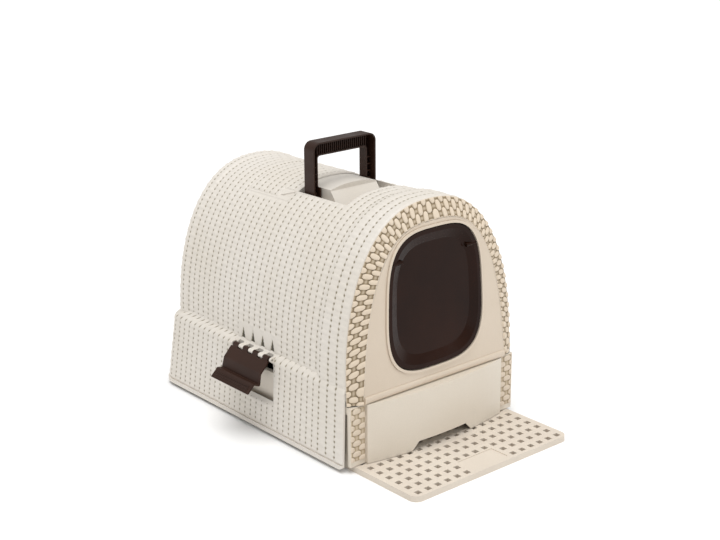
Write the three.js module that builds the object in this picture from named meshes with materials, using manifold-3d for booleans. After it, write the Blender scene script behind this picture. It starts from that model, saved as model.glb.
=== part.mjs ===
// Hooded cat litter box: a tray on a pull-out paw mat, under a woven-look hood that lifts off.
// Millimetres, +Z up, the entrance faces -Y. The hood is drawn seated on the tray, the mat pulled
// out, the side latches swung open, the carrying handle upright and the flap door closed.
import * as THREE from "three";
import { mergeVertices } from "three/addons/utils/BufferGeometryUtils.js";
import Module from "manifold-3d";

const wasm = await Module();
wasm.setup();

// ---------------------------------------------------------------- driving dimensions
const gap = 0.3; // between fixed neighbours
const runningGap = 0.5; // between pieces that move past each other

const trayLength = 485;
const rimWidth = 359;
const rimHeight = 111; // rim above the floor
const rimDrop = 12; // height of the turned-down rim
const rimOverhang = 5;
const rimLip = 2; // thickness of the turned-down lip
const trayWall = 3;
const trayFloor = 3;
const trayFloorLift = 4; // the floor's underside above the skirt's lower edge
const trayDraft = 2; // side walls, narrower at the floor
const trayCove = 40; // inner rounding from the side walls to the floor
const rearSlope = 18; // the rear wall leans in by this much
const footRadius = 30; // rounding from the rear wall to the floor
const trayCorner = 26;
const frontBow = 22; // how far the front bulges out
const stripWidth = 31; // plain strip at each front corner
const panelStep = 5; // the bowed front stands out from the strips
const ledgeWidth = 28.5; // flat ledge along the top of the front, at the middle
const notchHalfWidth = 52;
const notchHeight = 14;
const notchRun = 14; // sloping end of the notch
const floorRibs = 9;
const floorRibPitch = 28;
const runnerWidth = 24; // rear runners under the tray
const runnerOut = 105;

const matWidth = rimWidth - 19;
const matLength = 300;
const matThickness = 10;
const matCorner = 14;
const matCell = 9.5; // side of one square litter pocket
const matCellDepth = 7;
const matPitchX = 20.6;
const matPitchY = 21.8;
const matBorder = 11.5; // mat's edge to the middle of the outer pockets
const matPlateHalf = 38; // plain plate in the middle of the front border
const matPlateDepth = 36;
const matPlateSink = 1.2;
const matRise = 1; // how far the tray's skirt clears the mat
const matInset = 3; // the stored mat stays this far behind the tray's front
const matTravel = 120; // how far the mat is pulled out

const hoodHeight = 404;
const hoodHalfWidth = rimWidth / 2 + 0.5; // at the arch's spring line
const springAbove = 10; // arch's spring line above the tray's rim
const springHeight = rimHeight + springAbove;
const archPower = 2.33; // superellipse exponent of the arch
const hoodFront = -trayLength / 2 + 9.5;
const hoodRear = trayLength / 2 - 6.5; // top of the rear wall
const hoodWall = 3;
const frontBand = 63; // raised band behind the front edge
const bandStep = 5;
const rearTaper = 5; // the roof is narrower at the rear by this much
const rearBand = 30;
const rearBandRise = 2;
const rearRound = 8;
const skirtAbove = 6; // shoulder of the bulge round the hood, above the spring line
const skirtHeight = springHeight + skirtAbove;
const skirtShoulder = 20;
const skirtHalfTop = hoodHalfWidth + 3;
const skirtHalfBottom = hoodHalfWidth + 7.5;
const skirtRearTop = hoodRear + 16;
const skirtRearBottom = hoodRear + 39;
const skirtCorner = 30;
const flangeHeight = 7;
const flangeOut = 2.5;
const legRound = 15; // rounded lower front corner of each side wall
const faceLean = 0.035; // the entrance leans back by this much per millimetre
const faceLeanZero = 140;

const faceFront = hoodFront - 13; // entrance panel's outer surface
const faceHalfWidth = hoodHalfWidth - 26;
const faceHeight = hoodHeight - 32;
const facePower = 2.9;
const faceTaper = 0.00055; // narrower with height, per millimetre
const faceThickness = 3;
const faceBottom = rimHeight - 5;
const borderBottom = springHeight - 5;
const lipHeight = 12; // rolled lower edge of the panel
const lipProud = 3;

const doorHalfWidth = faceHalfWidth - 49.5;
const doorTop = faceHeight - 10;
const doorBottom = faceBottom + 26;
const doorPower = 3.3;
const doorTaper = 0.0004; // narrower with height, per millimetre
const doorTaperZero = 180;
const doorMargin = 2; // least width of the panel beside the door's bezel
const bezelWidth = 4;
const bezelDepth = 8;
const bezelProud = 2.5; // stands out from the panel
const flapGap = 1.8;
const flapSetback = 1.5; // the flap's rim behind the bezel's front
const flapRim = 7;
const flapBevel = 15;
const flapDish = 6;
const flapThickness = 2.2;
const flapPinDrop = 45; // hinge line below the top of the door
const flapPinRadius = 1.6;
const flapPinLength = 24;
const flapBossRadius = 3.4;

const handleHalfWidth = 67;
const handleLeg = 15;
const handleTop = 90; // above the pivot
const handleBar = 24;
const handleDepth = 25;
const handleInnerDepth = 17;
const handleSkin = 2.5;
const handleCorner = 14;
const handleRibs = 25;
const handleRibThickness = 1.2;
const handlePivotDrop = 28; // pivot below the top of the hood
const handlePivotY = -10;
const handlePivotRadius = 3;
const recessSide = 5; // room beside the folded handle
const recessEnd = 11; // room beyond the folded handle
const recessBelow = 2.5; // room under the folded handle
const islandGap = 2.5; // between the handle's legs and the raised middle
const islandRun = 20; // slope at the front of the raised middle
const islandSink = 1.2;

const latchWidth = 102;
const latchSkin = 2.5;
const latchStand = 3; // outer face of the latch beyond the hinge line
const latchHook = 10; // how far the hook reaches in behind the hinge line
const latchHookRun = 15; // from the end of the upper plate to the hook
const latchHookBelow = 6; // closed hook below the tray's rim
const latchLip = 18; // finger lip below the hook
const latchOpenAngle = 43;
const latchRodRadius = 1.6;
const knuckleRadius = 4.5;
const knuckleWidth = 14;
const knucklePitch = 27;
const knuckles = 4;
const hingeAbove = 4; // hinge line above the shoulder's lower edge
const hingeOut = skirtHalfTop + 3; // half distance between the two latch hinges
const windowMargin = 7; // latch window below the lip's edge
const rampHeight = 13;
const wedgeHeight = 12;

const lidHalfWidth = 92;
const lidLength = 110;
const lidBehind = 3; // strip between the handle recess and the lid
const lidThickness = 3;
const lidNotch = 14;
const lidNotchLength = 28;
const lidNotchDepth = 2;
const ledge = 5;
const ledgeDrop = 1.5; // ledge top below the lid's underside
const ledgeThickness = 2.5;
const basketHalfWidth = 45;
const basketInset = 17; // basket inside the lid's length, at each end
const basketDepth = 21;
const basketWall = 1.6;
const basketFlange = 10;
const basketSlots = 7;
const padThickness = 8;

const seatGap = 1; // seated entrance panel above the tray's rim

// ---------------------------------------------------------------- geometry helpers
const colours = {
  weave: 0xdcd4c6,
  beige: 0xd2c4b2,
  mat: 0xcabfb2,
  brown: 0x2b1d18,
  smoke: 0x24130a,
  carbon: 0x1b1b1c,
  steel: 0xa8a8a8,
};

function finish(colour, roughness, metalness = 0) {
  return new THREE.MeshStandardMaterial({ color: colour, roughness, metalness });
}

function solid(geometry) {
  geometry.deleteAttribute("normal");
  geometry.deleteAttribute("uv");
  const merged = mergeVertices(geometry, 1e-4);
  return new wasm.Manifold(
    new wasm.Mesh({
      numProp: 3,
      vertProperties: merged.attributes.position.array,
      triVerts: new Uint32Array(merged.index.array),
    }),
  );
}

function geometryOf(manifold) {
  const mesh = manifold.getMesh();
  return new THREE.BufferGeometry()
    .setAttribute("position", new THREE.BufferAttribute(mesh.vertProperties, 3))
    .setIndex(new THREE.BufferAttribute(mesh.triVerts, 1));
}

function union(pieces) {
  return pieces.reduce((whole, piece) => whole.add(piece));
}

function box(x0, x1, y0, y1, z0, z1) {
  const geometry = new THREE.BoxGeometry(x1 - x0, y1 - y0, z1 - z0);
  geometry.translate((x0 + x1) / 2, (y0 + y1) / 2, (z0 + z1) / 2);
  return solid(geometry);
}

function rodX(radius, x0, x1, y, z, sides = 20) {
  const geometry = new THREE.CylinderGeometry(radius, radius, x1 - x0, sides);
  geometry.rotateZ(Math.PI / 2).translate((x0 + x1) / 2, y, z);
  return solid(geometry);
}

function rodY(radius, y0, y1, x, z, sides = 20) {
  const geometry = new THREE.CylinderGeometry(radius, radius, y1 - y0, sides);
  geometry.translate(x, (y0 + y1) / 2, z);
  return solid(geometry);
}

// A section swept through a list of stations; place(u, v, station) gives each point's position.
function sweep(shape, stations, place, curveSegments = 8) {
  const steps = stations.length - 1;
  const geometry = new THREE.ExtrudeGeometry(shape, {
    depth: steps,
    steps,
    bevelEnabled: false,
    curveSegments,
  });
  const position = geometry.attributes.position;
  for (let i = 0; i < position.count; i++) {
    const station = stations[Math.round(position.getZ(i))];
    const [x, y, z] = place(position.getX(i), position.getY(i), station);
    position.setXYZ(i, x, y, z);
  }
  return solid(geometry);
}

// Prisms: the shape is drawn in XY, XZ or YZ and runs along the third axis.
function prismZ(shape, z0, z1, curveSegments) {
  return sweep(shape, [z0, z1], (x, y, z) => [x, y, z], curveSegments);
}

function prismY(shape, y0, y1, curveSegments) {
  return sweep(shape, [y1, y0], (x, z, y) => [x, y, z], curveSegments);
}

function prismX(shape, x0, x1, curveSegments) {
  return sweep(shape, [x0, x1], (y, z, x) => [x, y, z], curveSegments);
}

function polygon(points) {
  return new THREE.Shape(points.map(([x, y]) => new THREE.Vector2(x, y)));
}

function roundedRectangle(x0, x1, y0, y1, radius) {
  const shape = new THREE.Shape();
  shape.moveTo(x0 + radius, y0);
  shape.lineTo(x1 - radius, y0);
  shape.absarc(x1 - radius, y0 + radius, radius, -Math.PI / 2, 0);
  shape.lineTo(x1, y1 - radius);
  shape.absarc(x1 - radius, y1 - radius, radius, 0, Math.PI / 2);
  shape.lineTo(x0 + radius, y1);
  shape.absarc(x0 + radius, y1 - radius, radius, Math.PI / 2, Math.PI);
  shape.lineTo(x0, y0 + radius);
  shape.absarc(x0 + radius, y0 + radius, radius, Math.PI, 1.5 * Math.PI);
  return shape;
}

// A plan with square front corners and round rear ones.
function roundBackPlan(half, front, back, corner) {
  const shape = new THREE.Shape();
  shape.moveTo(-half, front);
  shape.lineTo(half, front);
  shape.lineTo(half, back - corner);
  shape.absarc(half - corner, back - corner, corner, 0, Math.PI / 2);
  shape.lineTo(-half + corner, back);
  shape.absarc(-half + corner, back - corner, corner, Math.PI / 2, Math.PI);
  return shape;
}

function smooth(t) {
  const s = Math.min(Math.max(t, 0), 1);
  return s * s * (3 - 2 * s);
}

function span(from, to, count) {
  return Array.from({ length: count + 1 }, (_, i) => from + ((to - from) * i) / count);
}

const mesh = (name, manifold, material) => {
  const made = new THREE.Mesh(geometryOf(manifold), material);
  made.name = name;
  return made;
};

// ---------------------------------------------------------------- pull-out paw mat
const matFront = -trayLength / 2 - frontBow + matInset - matTravel;

function pocketRow(length, pitch) {
  const count = Math.floor((length - 2 * matBorder) / pitch) + 1;
  return span(0, (count - 1) * pitch, count - 1);
}

function pawMat() {
  const half = matWidth / 2;
  const outline = roundedRectangle(-half, half, matFront, matFront + matLength, matCorner);
  const columns = pocketRow(matWidth, matPitchX);
  const middle = columns[columns.length - 1] / 2;
  const plateFront = matFront + matBorder - 1;
  const r = matCell / 2;
  const cells = [];
  for (const across of columns)
    for (const back of pocketRow(matLength, matPitchY)) {
      const x = across - middle;
      const y = matFront + matBorder + back;
      const onPlate = Math.abs(x) < matPlateHalf + r && y < plateFront + matPlateDepth + r;
      if (onPlate) continue;
      cells.push(box(x - r, x + r, y - r, y + r, matThickness - matCellDepth, matThickness + 1));
    }
  const plate = box(
    -matPlateHalf,
    matPlateHalf,
    plateFront,
    plateFront + matPlateDepth,
    matThickness - matPlateSink,
    matThickness + 1,
  );
  return prismZ(outline, 0, matThickness, 5).subtract(union(cells)).subtract(plate);
}

// ---------------------------------------------------------------- tray
const skirtBottom = matThickness + matRise;
const trayBottom = skirtBottom + trayFloorLift;
const rimHalf = rimWidth / 2;
const wallHalf = rimHalf - rimOverhang;
const trayBack = trayLength / 2;
const bowHalf = rimHalf - stripWidth;
const trayInside = -trayBack - frontBow + ledgeWidth;
const footEnd = trayBack - rimOverhang - rearSlope - footRadius;

// How far the rear wall has leant in at height z, with a round foot.
function rearInset(z, offset) {
  const radius = footRadius - offset;
  const slope = (rearSlope * (rimHeight - z)) / (rimHeight - skirtBottom);
  const below = Math.min(radius, Math.max(0, skirtBottom + footRadius - z));
  return slope + radius - Math.sqrt(radius ** 2 - below ** 2);
}

// The tray's body, shrunk by offset: straight sides with a little draft, rounded rear foot.
function trayBody(offset, bottom, top, front) {
  const half = wallHalf - offset;
  const back = trayBack - rimOverhang - offset;
  const shape = roundBackPlan(half, front, back, trayCorner - offset);
  const place = (x, y, z) => {
    const draft = (trayDraft * (rimHeight - z)) / (rimHeight - skirtBottom);
    const share = (y - front) / (back - front);
    return [x * (1 - draft / half), y - share * rearInset(z, offset), z];
  };
  const curved = span(bottom, skirtBottom + footRadius, 6);
  return sweep(shape, [...curved, top], place, 6);
}

function bowedPlan(halfWidth, chord, rise, back) {
  const shape = new THREE.Shape();
  shape.moveTo(halfWidth, back);
  shape.lineTo(-halfWidth, back);
  for (const x of span(-halfWidth, halfWidth, 24))
    shape.lineTo(x, chord - rise * (1 - (x / halfWidth) ** 2));
  return shape;
}

// The front: plain corner strips, a bowed and hollow middle, and the mat's finger notch.
function trayFront() {
  const corner = -trayBack;
  const slab = box(-rimHalf, rimHalf, corner, trayInside, skirtBottom, rimHeight);
  const chord = corner - panelStep;
  const rise = frontBow - panelStep;
  const bowed = prismZ(bowedPlan(bowHalf, chord, rise, trayInside), skirtBottom, rimHeight);
  const rear = trayInside - trayWall;
  const hollowPlan = bowedPlan(bowHalf - trayWall, chord + trayWall, rise, rear);
  const hollow = prismZ(hollowPlan, skirtBottom - 1, rimHeight - trayWall);
  const notch = polygon([
    [-notchHalfWidth - notchRun, skirtBottom - 1],
    [notchHalfWidth + notchRun, skirtBottom - 1],
    [notchHalfWidth + notchRun, skirtBottom],
    [notchHalfWidth, skirtBottom + notchHeight],
    [-notchHalfWidth, skirtBottom + notchHeight],
    [-notchHalfWidth - notchRun, skirtBottom],
  ]);
  return union([slab, bowed]).subtract(hollow).subtract(prismY(notch, corner - 2 * frontBow, rear));
}

// The inside's cross-section, grown by offset: a wide cove joins the floor to each side wall.
function covePlan(offset) {
  const half = wallHalf - trayWall + offset;
  const low = trayBottom + trayFloor - offset;
  const radius = trayCove + offset;
  const shape = new THREE.Shape();
  shape.moveTo(half, rimHeight + 10);
  shape.lineTo(-half, rimHeight + 10);
  shape.lineTo(-half, low + radius);
  shape.absarc(-half + radius, low + radius, radius, Math.PI, 1.5 * Math.PI);
  shape.lineTo(half - radius, low);
  shape.absarc(half - radius, low + radius, radius, 1.5 * Math.PI, 2 * Math.PI);
  return shape;
}

function tray() {
  const rimPlan = (front, offset) =>
    roundBackPlan(rimHalf - offset, front, trayBack - offset, trayCorner + rimOverhang - offset);
  const rim = prismZ(rimPlan(trayInside - trayWall + 1, 0), rimHeight - rimDrop, rimHeight, 6).subtract(
    prismZ(rimPlan(trayInside, rimLip), rimHeight - rimDrop - 1, rimHeight - trayWall, 6),
  );
  const cove = prismY(covePlan(0), trayInside, trayBack, 8);
  const cavity = trayBody(trayWall, trayBottom + trayFloor, rimHeight + 1, trayInside);
  const body = trayBody(0, skirtBottom, rimHeight, trayInside - trayWall + 1);
  // Under the floor the tray is open between its skirts, and behind the coves.
  const half = wallHalf - trayDraft - trayWall;
  const top = trayBottom + trayFloor + trayCove;
  const under = box(-half, half, trayInside + trayWall, footEnd, skirtBottom - 1, top).subtract(
    prismY(covePlan(trayFloor), trayInside, trayBack, 8),
  );
  let whole = union([body, rim, trayFront()]).subtract(cavity.intersect(cove)).subtract(under);
  const floorTop = trayBottom + trayFloor;
  const ribBack = footEnd - 10;
  for (let i = 0; i < floorRibs; i++) {
    const x = (i - (floorRibs - 1) / 2) * floorRibPitch;
    whole = whole.add(box(x - 1, x + 1, trayInside + 20, ribBack, floorTop - 1, floorTop + 1.2));
  }
  // Two runners carry the rear of the tray at the mat's height.
  const runnerFront = matFront + matTravel + matLength + 12;
  for (const side of [-1, 1]) {
    const x0 = side * runnerOut - runnerWidth / 2;
    whole = whole.add(box(x0, x0 + runnerWidth, runnerFront, footEnd - 12, 0, trayBottom + 1));
  }
  return whole;
}

// ---------------------------------------------------------------- hood surfaces
const archRise = hoodHeight - springHeight;

function archShape(halfWidth, rise, bottom, points = 40) {
  const shape = new THREE.Shape();
  shape.moveTo(-halfWidth, bottom);
  shape.lineTo(halfWidth, bottom);
  for (const angle of span(0, Math.PI, points)) {
    const c = Math.cos(angle);
    const s = Math.sin(angle);
    shape.lineTo(
      halfWidth * Math.sign(c) * Math.abs(c) ** (2 / archPower),
      springHeight + rise * Math.abs(s) ** (2 / archPower),
    );
  }
  return shape;
}

// How far the roof's skin lies inside the front band's surface at y.
function skinInset(y) {
  const bandEnd = hoodFront + frontBand;
  const step = bandStep * smooth((y - bandEnd) / 8);
  const taper = rearTaper * Math.max(0, (y - bandEnd) / (hoodRear - bandEnd));
  const rise = rearBandRise * smooth((y - hoodRear + rearBand) / 6);
  const round = Math.max(0, y - hoodRear + rearRound);
  const edge = rearRound - Math.sqrt(rearRound ** 2 - Math.min(round, rearRound) ** 2);
  return step + taper - rise + edge;
}

function lean(z) {
  return faceLean * (z - faceLeanZero);
}

// The roof as a solid body from y0 to y1, its skin moved in by offset.
function roofBody(offset, y0, y1, bottom = 0) {
  const bandEnd = hoodFront + frontBand;
  const marks = [
    hoodFront,
    bandEnd,
    bandEnd + 4,
    bandEnd + 8,
    ...span(bandEnd + 8, hoodRear - rearBand, 3).slice(1),
    hoodRear - rearBand + 6,
    hoodRear - rearRound,
    hoodRear - rearRound * 0.4,
    hoodRear - rearRound * 0.1,
  ];
  const inner = marks.filter((y) => y > y0 + 0.5 && y < y1 - 0.5);
  const stations = [y1, ...inner.reverse(), y0];
  const shape = archShape(hoodHalfWidth, archRise, bottom);
  return sweep(shape, stations, (x, z, y) => {
    const inset = skinInset(Math.min(Math.max(y, hoodFront), hoodRear - 0.01)) + offset;
    const up = Math.max(0, z - springHeight);
    const forward = smooth((hoodFront + frontBand - y) / frontBand);
    return [
      x * (1 - inset / hoodHalfWidth),
      y + lean(z) * forward,
      Math.min(z, springHeight) + up * (1 - inset / archRise),
    ];
  });
}

// The bulge round the bottom of the hood as a solid body, its skin moved in by offset.
function skirtBody(offset, bottom) {
  const half = skirtHalfBottom;
  const front = hoodFront;
  const back = skirtRearBottom;
  const shape = roundBackPlan(half, front, back, skirtCorner);
  const shoulderTop = skirtHeight + skirtShoulder;
  const place = (x, y, z) => {
    const t = Math.min(z / skirtHeight, 1);
    const s = smooth((z - skirtHeight) / skirtShoulder);
    const sunk = hoodHalfWidth - bandStep - rearTaper - 1;
    const wide = half + (skirtHalfTop - half) * t;
    const wider = wide + (sunk - wide) * s - offset;
    const deep = back + (skirtRearTop - back) * t;
    const deeper = deep + (hoodRear - 12 - deep) * s - offset;
    const share = (y - front) / (back - front);
    return [(x * wider) / half, front + share * (deeper - front), z - offset * (z > skirtHeight)];
  };
  const stations = [bottom, skirtHeight / 2, skirtHeight, skirtHeight + 6, shoulderTop - 5, shoulderTop];
  const body = sweep(shape, stations, place, 5);
  return body;
}

function flange() {
  const half = skirtHalfBottom + flangeOut;
  const back = skirtRearBottom + flangeOut;
  const plan = roundBackPlan(half, hoodFront, back, skirtCorner + flangeOut);
  return prismZ(plan, 0, flangeHeight, 5);
}

// The entrance panel's outline at one angle of the arch, given by its cosine and sine.
const faceRise = faceHeight - springHeight;

function facePoint(c, s, offset) {
  const up = (faceRise - offset) * Math.abs(s) ** (2 / facePower);
  const half = (faceHalfWidth - offset) * (1 - faceTaper * up);
  return [half * Math.sign(c) * Math.abs(c) ** (2 / facePower), springHeight + up];
}

// The entrance's woven border: a bevel from the roof's front edge in to the entrance panel.
function bevelBody(shift) {
  const shape = archShape(hoodHalfWidth, archRise, borderBottom);
  return sweep(shape, [hoodFront + shift + 2, hoodFront + shift, faceFront + shift], (x, z, y) => {
    const t = Math.min(1, Math.max(0, (y - shift - hoodFront) / (faceFront - hoodFront)));
    const s = Math.max(0, (z - springHeight) / archRise) ** (archPower / 2);
    const c = Math.sign(x) * Math.min(1, Math.abs(x) / hoodHalfWidth) ** (archPower / 2);
    const [faceX, faceZ] = facePoint(c, s, 0);
    return [x + (faceX - x) * t, y + lean(z), z > springHeight ? z + (faceZ - z) * t : z];
  });
}

// Half width of the entrance panel at height z.
function faceHalf(z) {
  const up = Math.min(1, Math.max(0, (z - springHeight) / faceRise));
  return faceHalfWidth * (1 - faceTaper * faceRise * up) * (1 - up ** facePower) ** (1 / facePower);
}

// The entrance panel's outline as a solid, shrunk by offset.
function facePrism(offset, y0, y1, bottom) {
  const half = faceHalfWidth - offset;
  const points = span(0, Math.PI, 40).map((a) => facePoint(Math.cos(a), Math.sin(a), offset));
  const shape = polygon([[-half, bottom], [half, bottom], ...points]);
  return sweep(shape, [y1, y0], (x, z, y) => [x, y + lean(z), z]);
}

// A patch of the roof's skin between two depths, over a rectangle in plan.
function roofPatch(halfWidth, y0, y1, depth0, depth1) {
  const ring = roofBody(depth0, y0, y1).subtract(roofBody(depth1, y0 - 1, y1 + 1, -1));
  return ring.intersect(box(-halfWidth, halfWidth, y0, y1, springHeight, hoodHeight + 20));
}

// ---------------------------------------------------------------- hood shell
const hingeHeight = skirtHeight + hingeAbove;
const seatedHeight = rimHeight + seatGap - faceBottom; // hood's lower edge when it is seated
const hookDepth = hingeHeight + seatedHeight - (rimHeight - rimDrop) + latchHookBelow;
const latchDrop = hookDepth + latchHookBelow + latchLip;
const windowHalf = latchWidth / 2 + 3;
const windowLow = hingeHeight - latchDrop - windowMargin;
const windowHigh = hingeHeight - knuckleRadius - 3;
const knuckleY = (i) => (i - (knuckles - 1) / 2) * knucklePitch;

// Rounds off the lower front corner of both side walls.
function legRounding() {
  const low = lean(0) + hoodFront;
  const shape = new THREE.Shape();
  shape.moveTo(low + legRound, -1);
  shape.lineTo(low + legRound, 0);
  shape.absarc(low + legRound, legRound, legRound, 1.5 * Math.PI, Math.PI, true);
  shape.lineTo(low - 12, legRound);
  shape.lineTo(low - 12, -1);
  const half = skirtHalfBottom + 10;
  return prismX(new THREE.Shape(shape.getPoints(6).reverse()), -half, half);
}

function sideBox(side, x0, x1, y0, y1, z0, z1) {
  return box(Math.min(side * x0, side * x1), Math.max(side * x0, side * x1), y0, y1, z0, z1);
}

function sidePrismX(side, shape, x0, x1) {
  return prismX(shape, Math.min(side * x0, side * x1), Math.max(side * x0, side * x1));
}

// A prism along Y drawn for the right side and mirrored for the left one.
function sidePrismY(side, points, y0, y1) {
  const drawn = points.map(([x, z]) => [side * x, z]);
  return prismY(polygon(side > 0 ? drawn : drawn.reverse()), y0, y1);
}

// Cuts for one latch: the window, pointed slots above the knuckles and a ramp below.
function latchCuts(side) {
  const window = sideBox(
    side,
    skirtHalfTop - 26,
    hingeOut + 12,
    -windowHalf,
    windowHalf,
    windowLow,
    windowHigh,
  );
  const slots = Array.from({ length: knuckles }, (_, i) => {
    const y = knuckleY(i);
    const half = knuckleWidth / 2 + runningGap;
    const outline = polygon([
      [y - half, windowHigh - 1],
      [y + half, windowHigh - 1],
      [y + half, hingeHeight + 3],
      [y, hingeHeight + 3 + wedgeHeight],
      [y - half, hingeHeight + 3],
    ]);
    return sidePrismX(side, outline, hingeOut - knuckleRadius - 5, hingeOut + 14);
  });
  const face = skirtHalfBottom + 3;
  const ramp = sidePrismY(
    side,
    [
      [skirtHalfTop - 1, windowLow + 1],
      [face, windowLow - rampHeight],
      [face, windowLow + 1],
    ],
    -windowHalf,
    windowHalf,
  );
  return union([window, ramp, ...slots]);
}

// Posts between the latch's knuckles; they carry its rod.
function latchPosts(side) {
  const r = knuckleRadius - 0.5;
  const x = side * hingeOut;
  const reach = (knucklePitch - knuckleWidth) / 2 - runningGap;
  const post = (y0, y1) =>
    rodY(r, y0, y1, x, hingeHeight, 16).add(
      sideBox(side, hingeOut - 9, hingeOut, y0, y1, hingeHeight - r, hingeHeight + r),
    );
  const posts = [];
  for (let i = 1; i < knuckles; i++) {
    const y = (knuckleY(i - 1) + knuckleY(i)) / 2;
    posts.push(post(y - reach, y + reach));
  }
  const end = latchWidth / 2 + runningGap;
  posts.push(post(-windowHalf - 1, -end), post(end, windowHalf + 1));
  return union(posts);
}

const pivotHeight = hoodHeight - handlePivotDrop;
const recessHalf = handleHalfWidth + recessSide;
const recessFront = handlePivotY - handleTop - recessEnd;
const recessRear = handlePivotY + handleDepth / 2 + recessEnd;
const recessFloor = pivotHeight - handleDepth / 2 - recessBelow;
const islandHalf = handleHalfWidth - handleLeg - islandGap;
const islandFront = handlePivotY - handleTop + handleBar + 12;

// The recess the handle folds into, grown by offset, with the raised middle left standing.
function recessRoom(offset) {
  const top = hoodHeight + 20;
  const floor = recessFloor - offset;
  const room = box(
    -recessHalf - offset,
    recessHalf + offset,
    recessFront - offset,
    recessRear + offset,
    floor,
    top,
  );
  const side = polygon([
    [islandFront + offset, floor - 1],
    [recessRear + 50, floor - 1],
    [recessRear + 50, top],
    [islandFront + islandRun + offset, top],
    [islandFront + islandRun + offset, pivotHeight + 12],
    [islandFront + offset, recessFloor],
  ]);
  return room.subtract(prismX(side, -islandHalf + offset, islandHalf - offset));
}

const lidFront = recessRear + lidBehind;
const lidRear = lidFront + lidLength;

function lidOpening(shell) {
  const side = lidHalfWidth + gap;
  const front = lidFront - gap;
  const back = lidRear + gap;
  const sunk = lidThickness + ledgeDrop;
  const plate = roofPatch(side + ledge, front, back + ledge, hoodWall - 0.5, sunk + ledgeThickness);
  const hole = basketHalfWidth + gap;
  return shell
    .add(plate)
    .subtract(roofPatch(side, front, back, -6, sunk))
    .subtract(
      box(
        -hole,
        hole,
        lidFront + basketInset - gap,
        lidRear - basketInset + gap,
        springHeight,
        hoodHeight + 9,
      ),
    );
}

function hoodShell() {
  const outer = union([roofBody(0, hoodFront, hoodRear), skirtBody(0, 0), flange()]);
  const legs = skirtHalfTop - hoodWall;
  const inner = union([
    roofBody(hoodWall, hoodFront - 30, hoodRear - hoodWall, -1),
    skirtBody(hoodWall, -1),
    box(-legs, legs, hoodFront - 30, hoodFront + 30, -1, springHeight - 5),
  ]);
  const border = bevelBody(0)
    .subtract(bevelBody(hoodWall + 0.5))
    .subtract(facePrism(0, faceFront - 20, 0, 0));
  let shell = outer.subtract(inner).add(border).subtract(legRounding());

  // Handle recess: a tub in the roof, the middle of it left standing and sunk a little.
  shell = shell.add(recessRoom(hoodWall).intersect(roofBody(0, hoodFront, hoodRear)));
  shell = shell.subtract(recessRoom(0));
  const middle = box(-islandHalf, islandHalf, islandFront, lidFront, recessFloor, hoodHeight + 9);
  shell = shell.subtract(middle.subtract(roofBody(islandSink, hoodFront, hoodRear)));
  const reach = recessHalf + 9;
  shell = shell.subtract(
    rodX(handlePivotRadius + gap, -reach, reach, handlePivotY, pivotHeight).subtract(
      box(-islandHalf + 9, islandHalf - 9, handlePivotY - 9, handlePivotY + 9, springHeight, hoodHeight),
    ),
  );
  shell = lidOpening(shell);
  for (const side of [-1, 1]) {
    const bore = rodY(
      latchRodRadius + gap,
      -windowHalf - 9,
      windowHalf + 9,
      side * hingeOut,
      hingeHeight,
    );
    shell = shell.subtract(latchCuts(side)).add(latchPosts(side)).subtract(bore);
  }
  return shell;
}

// ---------------------------------------------------------------- entrance
const doorMiddle = (doorTop + doorBottom) / 2;
const doorHalfHeight = (doorTop - doorBottom) / 2;
const bezelFront = faceFront - bezelProud;
const flapFront = bezelFront + flapSetback;
const pinHeight = doorTop - flapPinDrop;

// The door's outline as a solid running from y1 to y0; inset(y) shrinks it along the way.
function doorBody(stations, inset) {
  const points = span(0, 2 * Math.PI, 72).slice(0, -1);
  const shape = polygon(
    points.map((angle) => {
      const c = Math.cos(angle);
      const s = Math.sin(angle);
      return [
        doorHalfWidth * Math.sign(c) * Math.abs(c) ** (2 / doorPower),
        doorHalfHeight * Math.sign(s) * Math.abs(s) ** (2 / doorPower),
      ];
    }),
  );
  return sweep(shape, stations, (x, up, y) => {
    const z = doorMiddle + up * (1 - inset(y) / doorHalfHeight);
    const narrow = 1 - doorTaper * (z - doorTaperZero);
    const half = Math.abs(x) * (1 - inset(y) / doorHalfWidth) * narrow;
    const room = faceHalf(z) - bezelWidth - gap - doorMargin - inset(y);
    return [Math.sign(x) * Math.max(0, Math.min(half, room)), y + lean(z), z];
  });
}

const doorRing = (inset, y0, y1) => doorBody([y1, y0], () => inset);

function frontPanel() {
  const panel = facePrism(gap, faceFront, faceFront + faceThickness, faceBottom);
  const half = faceHalfWidth - gap;
  const low = lean(faceBottom) + faceFront;
  const lip = new THREE.Shape();
  lip.moveTo(low + faceThickness, faceBottom + lipHeight);
  lip.lineTo(low, faceBottom + lipHeight);
  lip.quadraticCurveTo(low - lipProud, faceBottom + lipHeight, low - lipProud, faceBottom + lipHeight / 2);
  lip.quadraticCurveTo(low - lipProud, faceBottom, low + faceThickness, faceBottom);
  return panel
    .add(prismX(lip, -half, half, 5))
    .subtract(doorRing(-bezelWidth - gap, faceFront - 20, faceFront + 20));
}

function doorBezel() {
  return doorRing(-bezelWidth, bezelFront, bezelFront + bezelDepth)
    .subtract(doorRing(0, bezelFront - 1, bezelFront + bezelDepth + 1))
    .subtract(rodX(flapPinRadius + gap, -faceHalfWidth, faceHalfWidth, pinY, pinHeight));
}

const pinY = flapFront + lean(pinHeight) + flapThickness;
const pinUp = Math.abs(pinHeight - doorMiddle) / doorHalfHeight;
const pinTaper = 1 - doorTaper * (pinHeight - doorTaperZero);
const doorSide = doorHalfWidth * pinTaper * (1 - pinUp ** doorPower) ** (1 / doorPower);

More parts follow.
